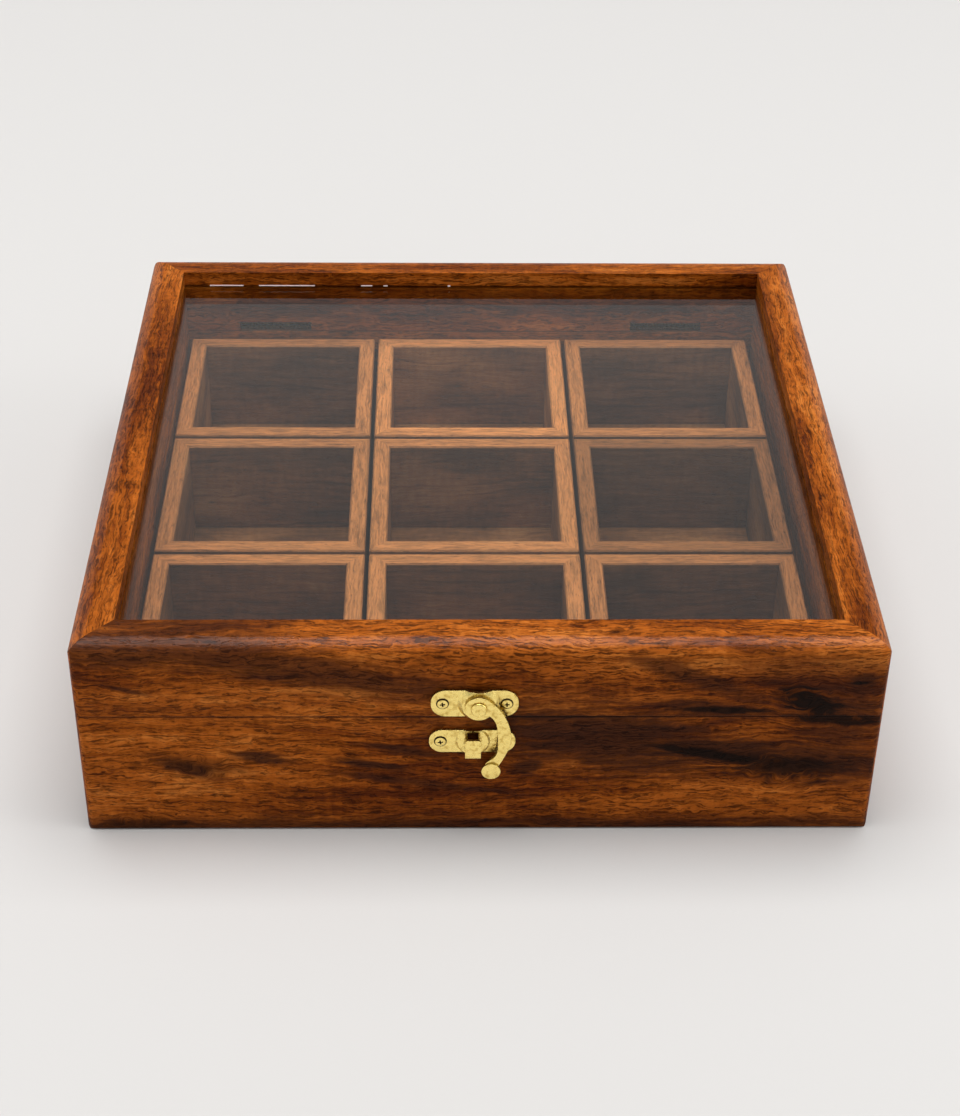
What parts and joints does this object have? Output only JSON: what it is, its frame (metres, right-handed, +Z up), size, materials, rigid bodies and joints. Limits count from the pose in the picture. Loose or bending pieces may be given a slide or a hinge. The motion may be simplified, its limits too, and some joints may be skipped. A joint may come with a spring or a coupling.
{
  "type": "wooden spice box",
  "caption": "Square rosewood spice box with a hinged glass lid, a brass swing-hook latch and loose wooden containers that lift out.",
  "frame": {"origin": "middle of the underside, on the surface that the box stands on", "axes": "+Z up, +X to the right seen from the front, -Y towards the front, where the latch is"},
  "size_m": [0.229, 0.2341, 0.068],
  "materials": {
    "rosewood": "satin lacquer",
    "container_wood": "matte",
    "container_ply": "matte",
    "floor_ply": "matte",
    "clear_glass": "clear",
    "brass": "bright plated",
    "steel_pin": "plain drawn wire"
  },
  "bodies": {
    "base": {"base_front_wall": "rosewood", "base_back_wall": "rosewood", "base_left_wall": "rosewood", "base_right_wall": "rosewood", "base_floor_panel": "floor_ply", "base_floor_pins": "steel_pin", "hinge_left_base_leaf": "brass", "hinge_right_base_leaf": "brass", "hinge_left_pin": "brass", "hinge_right_pin": "brass", "hinge_base_screws": "brass", "latch_catch_plate": "brass", "latch_catch_plate_screws": "brass"},
    "lid": {"lid_front_rail": "rosewood", "lid_back_rail": "rosewood", "lid_left_rail": "rosewood", "lid_right_rail": "rosewood", "lid_glass": "clear_glass", "hinge_left_lid_leaf": "brass", "hinge_right_lid_leaf": "brass", "hinge_lid_screws": "brass", "latch_hook_plate": "brass", "latch_hook_plate_screws": "brass", "latch_rivet": "brass"},
    "hook": {"latch_hook": "brass"},
    "container_front_left": {"container_front_left_end_boards": "container_wood", "container_front_left_side_boards": "container_wood", "container_front_left_bottom": "container_ply"},
    "container_front_centre": {"container_front_centre_end_boards": "container_wood", "container_front_centre_side_boards": "container_wood", "container_front_centre_bottom": "container_ply"},
    "container_front_right": {"container_front_right_end_boards": "container_wood", "container_front_right_side_boards": "container_wood", "container_front_right_bottom": "container_ply"},
    "container_middle_left": {"container_middle_left_end_boards": "container_wood", "container_middle_left_side_boards": "container_wood", "container_middle_left_bottom": "container_ply"},
    "container_middle_centre": {"container_middle_centre_end_boards": "container_wood", "container_middle_centre_side_boards": "container_wood", "container_middle_centre_bottom": "container_ply"},
    "container_middle_right": {"container_middle_right_end_boards": "container_wood", "container_middle_right_side_boards": "container_wood", "container_middle_right_bottom": "container_ply"},
    "container_back_left": {"container_back_left_end_boards": "container_wood", "container_back_left_side_boards": "container_wood", "container_back_left_bottom": "container_ply"},
    "container_back_centre": {"container_back_centre_end_boards": "container_wood", "container_back_centre_side_boards": "container_wood", "container_back_centre_bottom": "container_ply"},
    "container_back_right": {"container_back_right_end_boards": "container_wood", "container_back_right_side_boards": "container_wood", "container_back_right_bottom": "container_ply"}
  },
  "joints": [
    {"name": "lid_hinge", "type": "hinge", "parent": "base", "child": "lid", "pos_m": [0, 0.1132, 0.04435], "axis": [-1, 0, 0], "range_deg": [0, 105]},
    {"name": "hook_pivot", "type": "hinge", "parent": "lid", "child": "hook", "pos_m": [-0.0005, -0.1172, 0.04805], "axis": [0, -1, 0], "range_deg": [-12, 110]},
    {"name": "container_front_left_lift", "type": "slide", "parent": "base", "child": "container_front_left", "axis": [0, 0, 1], "range_m": [0, 0.018]},
    {"name": "container_front_centre_lift", "type": "slide", "parent": "base", "child": "container_front_centre", "axis": [0, 0, 1], "range_m": [0, 0.018]},
    {"name": "container_front_right_lift", "type": "slide", "parent": "base", "child": "container_front_right", "axis": [0, 0, 1], "range_m": [0, 0.018]},
    {"name": "container_middle_left_lift", "type": "slide", "parent": "base", "child": "container_middle_left", "axis": [0, 0, 1], "range_m": [0, 0.018]},
    {"name": "container_middle_centre_lift", "type": "slide", "parent": "base", "child": "container_middle_centre", "axis": [0, 0, 1], "range_m": [0, 0.018]},
    {"name": "container_middle_right_lift", "type": "slide", "parent": "base", "child": "container_middle_right", "axis": [0, 0, 1], "range_m": [0, 0.018]},
    {"name": "container_back_left_lift", "type": "slide", "parent": "base", "child": "container_back_left", "axis": [0, 0, 1], "range_m": [0, 0.018]},
    {"name": "container_back_centre_lift", "type": "slide", "parent": "base", "child": "container_back_centre", "axis": [0, 0, 1], "range_m": [0, 0.018]},
    {"name": "container_back_right_lift", "type": "slide", "parent": "base", "child": "container_back_right", "axis": [0, 0, 1], "range_m": [0, 0.018]}
  ]
}
